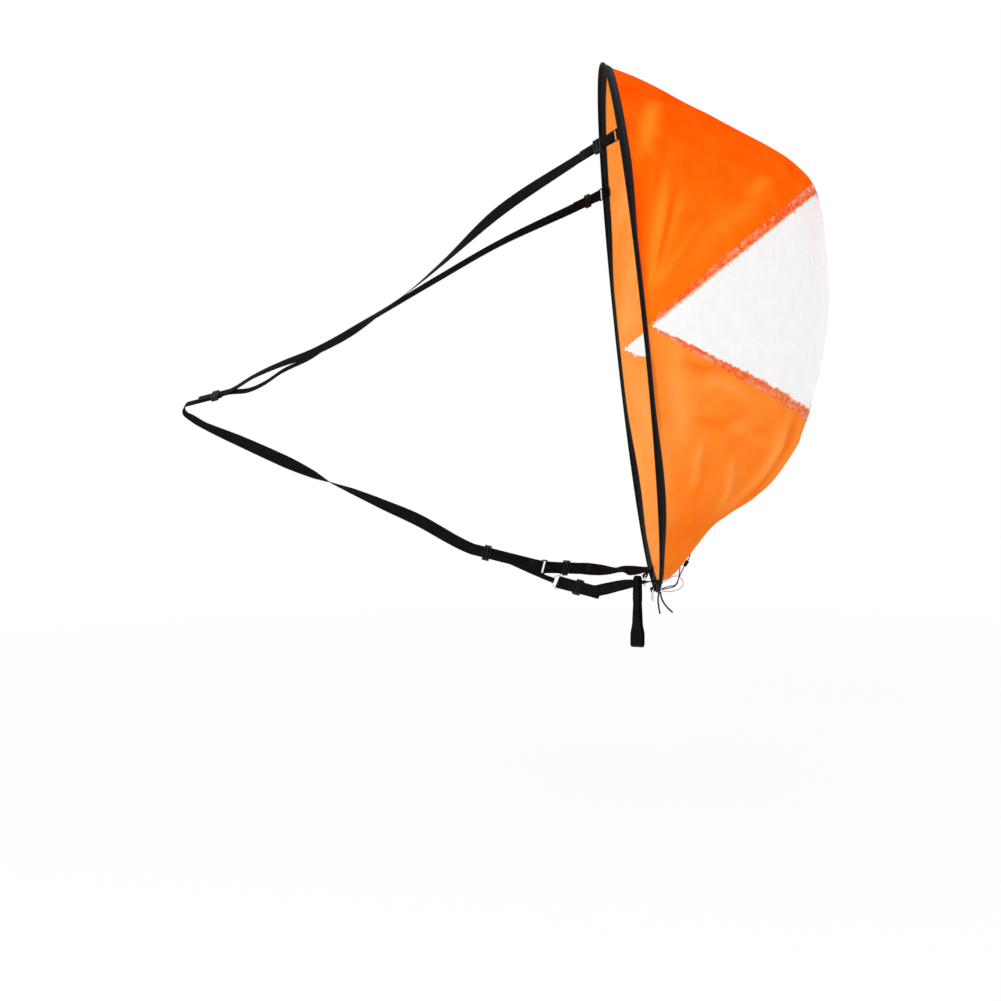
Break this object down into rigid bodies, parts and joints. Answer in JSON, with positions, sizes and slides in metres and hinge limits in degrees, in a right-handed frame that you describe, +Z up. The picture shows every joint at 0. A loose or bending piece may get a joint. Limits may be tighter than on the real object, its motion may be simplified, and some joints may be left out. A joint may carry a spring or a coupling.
{
  "type": "canoe sail",
  "caption": "Pop-up downwind canoe sail: a sprung round hoop carrying a cloth bowl with a clear window, hinged at its foot on deck rings and steered by webbing reins.",
  "frame": {"origin": "on the hinge line of the deck rings, midway between them", "axes": "+X downwind, -Y the near side, +Z up"},
  "size_m": [1.3281, 1.0812, 1.1736],
  "materials": {
    "orange_cloth": "woven, light sheen",
    "orange_cloth_low": "woven, light sheen",
    "clear_film": "clear film",
    "binding_tape": "woven tape",
    "webbing": "woven webbing",
    "spring_steel": "bright",
    "ferrule_steel": "satin",
    "zinc_ring": "zinc plated",
    "dark_wire": "dark",
    "slider_plastic": "moulded",
    "dark_cord": "braided cord",
    "pale_cord": "braided cord"
  },
  "bodies": {
    "deck_rings": {"near_deck_ring": "zinc_ring", "far_deck_ring": "zinc_ring"},
    "sail": {"base_cord_knot": "dark_cord", "bridle_ring": "dark_wire", "far_base_tab": "webbing", "far_cord_eye": "zinc_ring", "far_leg_strap": "webbing", "far_rein_ring": "zinc_ring", "far_rein_strap": "webbing", "far_rein_tab": "webbing", "far_tie_cord": "dark_cord", "hoop_ferrule": "ferrule_steel", "long_tail_cord": "dark_cord", "near_lower_panel": "orange_cloth_low", "far_lower_panel": "orange_cloth_low", "lower_strap": "webbing", "near_base_tab": "webbing", "near_cord_eye": "zinc_ring", "near_leg_link": "zinc_ring", "near_leg_strap": "webbing", "near_link_strap": "webbing", "near_rein_ring": "zinc_ring", "near_rein_strap": "webbing", "near_rein_tab": "webbing", "near_tie_cord": "dark_cord", "pale_tie_cord": "pale_cord", "rim_binding": "binding_tape", "short_tail_cord": "dark_cord", "spring_hoop": "spring_steel", "upper_panel": "orange_cloth", "window_panel": "clear_film"},
    "near_rein_slider_body": {"near_rein_slider": "slider_plastic"},
    "far_rein_slider_body": {"far_rein_slider": "slider_plastic"},
    "hand_slider_body": {"hand_slider": "slider_plastic"},
    "lower_strap_slider_body": {"lower_strap_slider": "slider_plastic"},
    "near_leg_slider_body": {"near_leg_slider": "slider_plastic"},
    "far_leg_slider_body": {"far_leg_slider": "slider_plastic"},
    "cord_stopper_body": {"cord_stopper": "slider_plastic"},
    "hanging_loop_body": {"hanging_loop": "webbing"}
  },
  "joints": [
    {"name": "sail_tilt", "type": "hinge", "parent": "deck_rings", "child": "sail", "pos_m": [0, 0, 0], "axis": [0, 1, 0], "range_deg": [-15, 60]},
    {"name": "near_rein_slider_slide", "type": "slide", "parent": "sail", "child": "near_rein_slider_body", "axis": [-0.8057, 0.406, -0.4312], "range_m": [-0.01, 0.02]},
    {"name": "far_rein_slider_slide", "type": "slide", "parent": "sail", "child": "far_rein_slider_body", "axis": [-0.8057, -0.406, -0.4312], "range_m": [-0.01, 0.02]},
    {"name": "hand_slider_slide", "type": "slide", "parent": "sail", "child": "hand_slider_body", "axis": [-0.9655, 0.1059, -0.238], "range_m": [-0.02, 0.02]},
    {"name": "lower_strap_slider_slide", "type": "slide", "parent": "sail", "child": "lower_strap_slider_body", "axis": [-0.9703, 0, 0.2421], "range_m": [-0.01, 0.005]},
    {"name": "near_leg_slider_slide", "type": "slide", "parent": "sail", "child": "near_leg_slider_body", "axis": [0.8434, -0.5087, -0.1729], "range_m": [-0.02, 0.015]},
    {"name": "far_leg_slider_slide", "type": "slide", "parent": "sail", "child": "far_leg_slider_body", "axis": [0.8799, 0.47, -0.07], "range_m": [-0.02, 0.015]},
    {"name": "cord_stopper_slide", "type": "slide", "parent": "sail", "child": "cord_stopper_body", "axis": [-0.5064, 0.0755, -0.859], "range_m": [-0.003, 0.003]},
    {"name": "hanging_loop_swing", "type": "hinge", "parent": "sail", "child": "hanging_loop_body", "pos_m": [-0.02883, -0.11968, 0.01127], "axis": [0.9381, -0.3464, 0], "range_deg": [-25, 25]}
  ]
}
